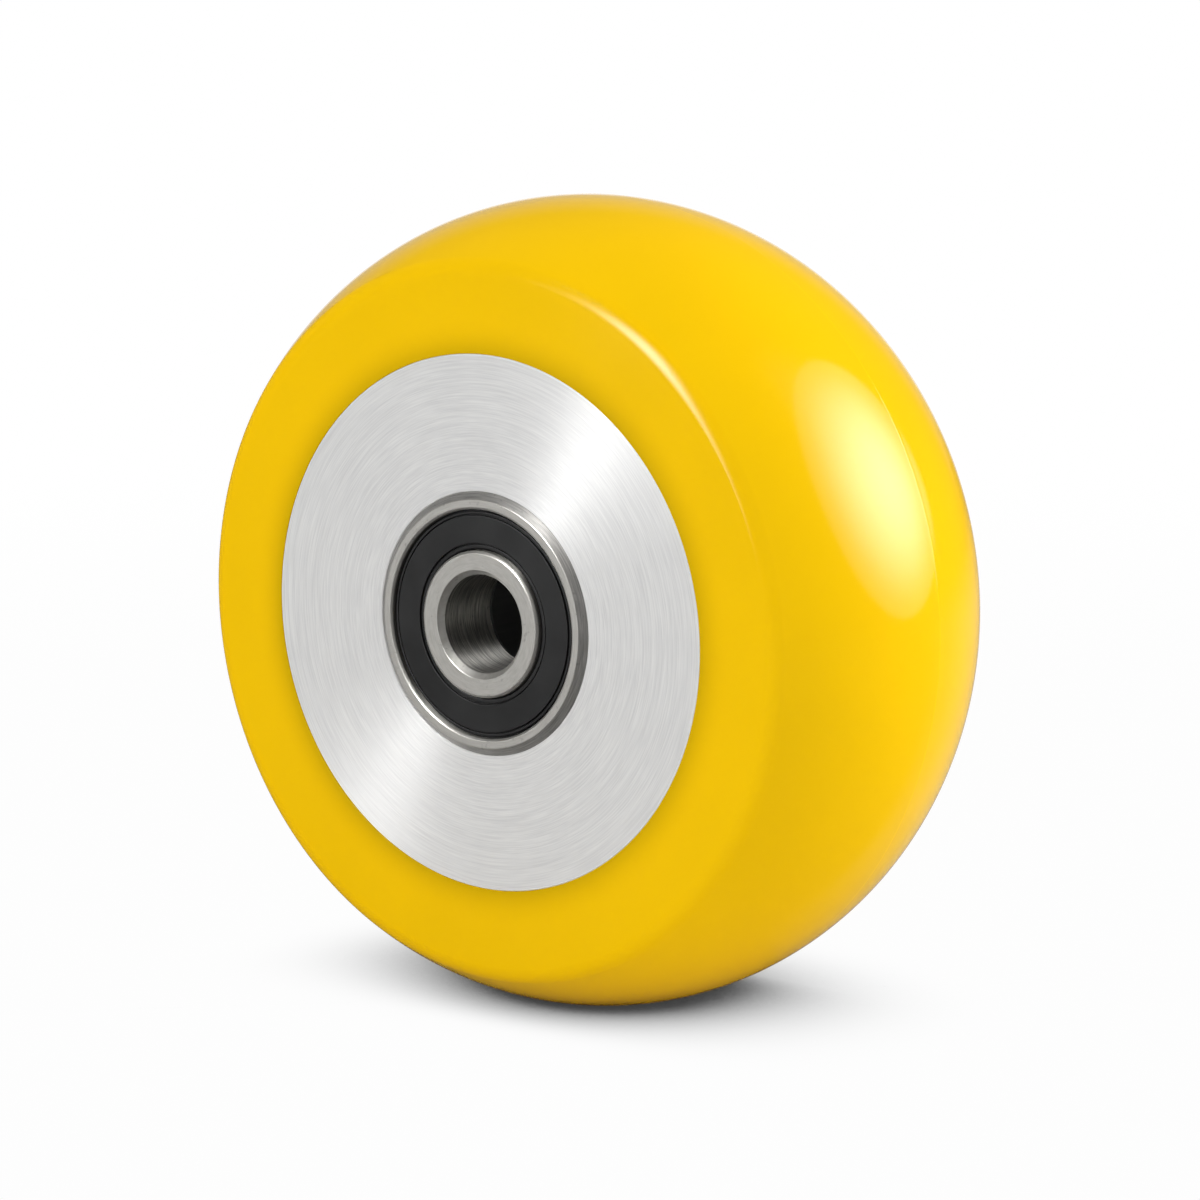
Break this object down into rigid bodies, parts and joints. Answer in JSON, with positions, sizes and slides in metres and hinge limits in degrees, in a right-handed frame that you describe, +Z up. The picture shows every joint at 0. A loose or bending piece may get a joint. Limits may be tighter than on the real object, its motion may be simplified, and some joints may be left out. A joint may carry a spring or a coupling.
{
  "type": "polyurethane wheel",
  "caption": "Solid polyurethane wheel with a crowned tread bonded on a turned aluminium hub, running on sealed ball bearings around a through bore for an axle.",
  "frame": {"origin": "the middle of the wheel, on the axle's axis and half way between its two sides", "axes": "+Y along the axle towards the rear bearing, +Z up as in the picture, front side at -Y"},
  "size_m": [0.1, 0.0434, 0.1],
  "materials": {
    "polyurethane": "glossy moulded",
    "turned_aluminium": "fine turned",
    "ring_steel": "satin ground",
    "seal_rubber": "matte moulded",
    "cage_steel": "pressed sheet",
    "ball_steel": "polished",
    "spacer_steel": "plain drawn tube"
  },
  "bodies": {
    "root": {"spacer_tube": "spacer_steel", "front_inner_ring": "ring_steel", "rear_inner_ring": "ring_steel"},
    "wheel": {"tread": "polyurethane", "hub_core": "turned_aluminium", "front_outer_ring": "ring_steel", "front_outboard_seal": "seal_rubber", "front_inboard_seal": "seal_rubber", "rear_outer_ring": "ring_steel", "rear_outboard_seal": "seal_rubber", "rear_inboard_seal": "seal_rubber"},
    "front_cage": {"front_cage_outboard_half": "cage_steel", "front_cage_inboard_half": "cage_steel", "front_cage_rivets": "cage_steel"},
    "front_ball_1_body": {"front_ball_1": "ball_steel"},
    "front_ball_2_body": {"front_ball_2": "ball_steel"},
    "front_ball_3_body": {"front_ball_3": "ball_steel"},
    "front_ball_4_body": {"front_ball_4": "ball_steel"},
    "front_ball_5_body": {"front_ball_5": "ball_steel"},
    "front_ball_6_body": {"front_ball_6": "ball_steel"},
    "front_ball_7_body": {"front_ball_7": "ball_steel"},
    "rear_cage": {"rear_cage_outboard_half": "cage_steel", "rear_cage_inboard_half": "cage_steel", "rear_cage_rivets": "cage_steel"},
    "rear_ball_1_body": {"rear_ball_1": "ball_steel"},
    "rear_ball_2_body": {"rear_ball_2": "ball_steel"},
    "rear_ball_3_body": {"rear_ball_3": "ball_steel"},
    "rear_ball_4_body": {"rear_ball_4": "ball_steel"},
    "rear_ball_5_body": {"rear_ball_5": "ball_steel"},
    "rear_ball_6_body": {"rear_ball_6": "ball_steel"},
    "rear_ball_7_body": {"rear_ball_7": "ball_steel"}
  },
  "joints": [
    {"name": "wheel_spin", "type": "hinge", "parent": "root", "child": "wheel", "pos_m": [0, 0, 0], "axis": [0, 1, 0], "continuous": true},
    {"name": "front_cage_orbit", "type": "hinge", "parent": "root", "child": "front_cage", "pos_m": [0, 0, 0], "axis": [0, 1, 0], "continuous": true},
    {"name": "front_ball_1_spin", "type": "hinge", "parent": "front_cage", "child": "front_ball_1_body", "pos_m": [0.011, -0.0167, 0], "axis": [0, 1, 0], "continuous": true},
    {"name": "front_ball_2_spin", "type": "hinge", "parent": "front_cage", "child": "front_ball_2_body", "pos_m": [0.00686, -0.0167, 0.0086], "axis": [0, 1, 0], "continuous": true},
    {"name": "front_ball_3_spin", "type": "hinge", "parent": "front_cage", "child": "front_ball_3_body", "pos_m": [-0.00245, -0.0167, 0.01072], "axis": [0, 1, 0], "continuous": true},
    {"name": "front_ball_4_spin", "type": "hinge", "parent": "front_cage", "child": "front_ball_4_body", "pos_m": [-0.00991, -0.0167, 0.00477], "axis": [0, 1, 0], "continuous": true},
    {"name": "front_ball_5_spin", "type": "hinge", "parent": "front_cage", "child": "front_ball_5_body", "pos_m": [-0.00991, -0.0167, -0.00477], "axis": [0, 1, 0], "continuous": true},
    {"name": "front_ball_6_spin", "type": "hinge", "parent": "front_cage", "child": "front_ball_6_body", "pos_m": [-0.00245, -0.0167, -0.01072], "axis": [0, 1, 0], "continuous": true},
    {"name": "front_ball_7_spin", "type": "hinge", "parent": "front_cage", "child": "front_ball_7_body", "pos_m": [0.00686, -0.0167, -0.0086], "axis": [0, 1, 0], "continuous": true},
    {"name": "rear_cage_orbit", "type": "hinge", "parent": "root", "child": "rear_cage", "pos_m": [0, 0, 0], "axis": [0, 1, 0], "continuous": true},
    {"name": "rear_ball_1_spin", "type": "hinge", "parent": "rear_cage", "child": "rear_ball_1_body", "pos_m": [0.011, 0.0167, 0], "axis": [0, 1, 0], "continuous": true},
    {"name": "rear_ball_2_spin", "type": "hinge", "parent": "rear_cage", "child": "rear_ball_2_body", "pos_m": [0.00686, 0.0167, 0.0086], "axis": [0, 1, 0], "continuous": true},
    {"name": "rear_ball_3_spin", "type": "hinge", "parent": "rear_cage", "child": "rear_ball_3_body", "pos_m": [-0.00245, 0.0167, 0.01072], "axis": [0, 1, 0], "continuous": true},
    {"name": "rear_ball_4_spin", "type": "hinge", "parent": "rear_cage", "child": "rear_ball_4_body", "pos_m": [-0.00991, 0.0167, 0.00477], "axis": [0, 1, 0], "continuous": true},
    {"name": "rear_ball_5_spin", "type": "hinge", "parent": "rear_cage", "child": "rear_ball_5_body", "pos_m": [-0.00991, 0.0167, -0.00477], "axis": [0, 1, 0], "continuous": true},
    {"name": "rear_ball_6_spin", "type": "hinge", "parent": "rear_cage", "child": "rear_ball_6_body", "pos_m": [-0.00245, 0.0167, -0.01072], "axis": [0, 1, 0], "continuous": true},
    {"name": "rear_ball_7_spin", "type": "hinge", "parent": "rear_cage", "child": "rear_ball_7_body", "pos_m": [0.00686, 0.0167, -0.0086], "axis": [0, 1, 0], "continuous": true}
  ],
  "couplings": [
    {"joint": "front_cage_orbit", "follows": "wheel_spin", "ratio": 0.6353},
    {"joint": "front_ball_1_spin", "follows": "wheel_spin", "ratio": 1.7125},
    {"joint": "front_ball_2_spin", "follows": "wheel_spin", "ratio": 1.7125},
    {"joint": "front_ball_3_spin", "follows": "wheel_spin", "ratio": 1.7125},
    {"joint": "front_ball_4_spin", "follows": "wheel_spin", "ratio": 1.7125},
    {"joint": "front_ball_5_spin", "follows": "wheel_spin", "ratio": 1.7125},
    {"joint": "front_ball_6_spin", "follows": "wheel_spin", "ratio": 1.7125},
    {"joint": "front_ball_7_spin", "follows": "wheel_spin", "ratio": 1.7125},
    {"joint": "rear_cage_orbit", "follows": "wheel_spin", "ratio": 0.6353},
    {"joint": "rear_ball_1_spin", "follows": "wheel_spin", "ratio": 1.7125},
    {"joint": "rear_ball_2_spin", "follows": "wheel_spin", "ratio": 1.7125},
    {"joint": "rear_ball_3_spin", "follows": "wheel_spin", "ratio": 1.7125},
    {"joint": "rear_ball_4_spin", "follows": "wheel_spin", "ratio": 1.7125},
    {"joint": "rear_ball_5_spin", "follows": "wheel_spin", "ratio": 1.7125},
    {"joint": "rear_ball_6_spin", "follows": "wheel_spin", "ratio": 1.7125},
    {"joint": "rear_ball_7_spin", "follows": "wheel_spin", "ratio": 1.7125}
  ]
}
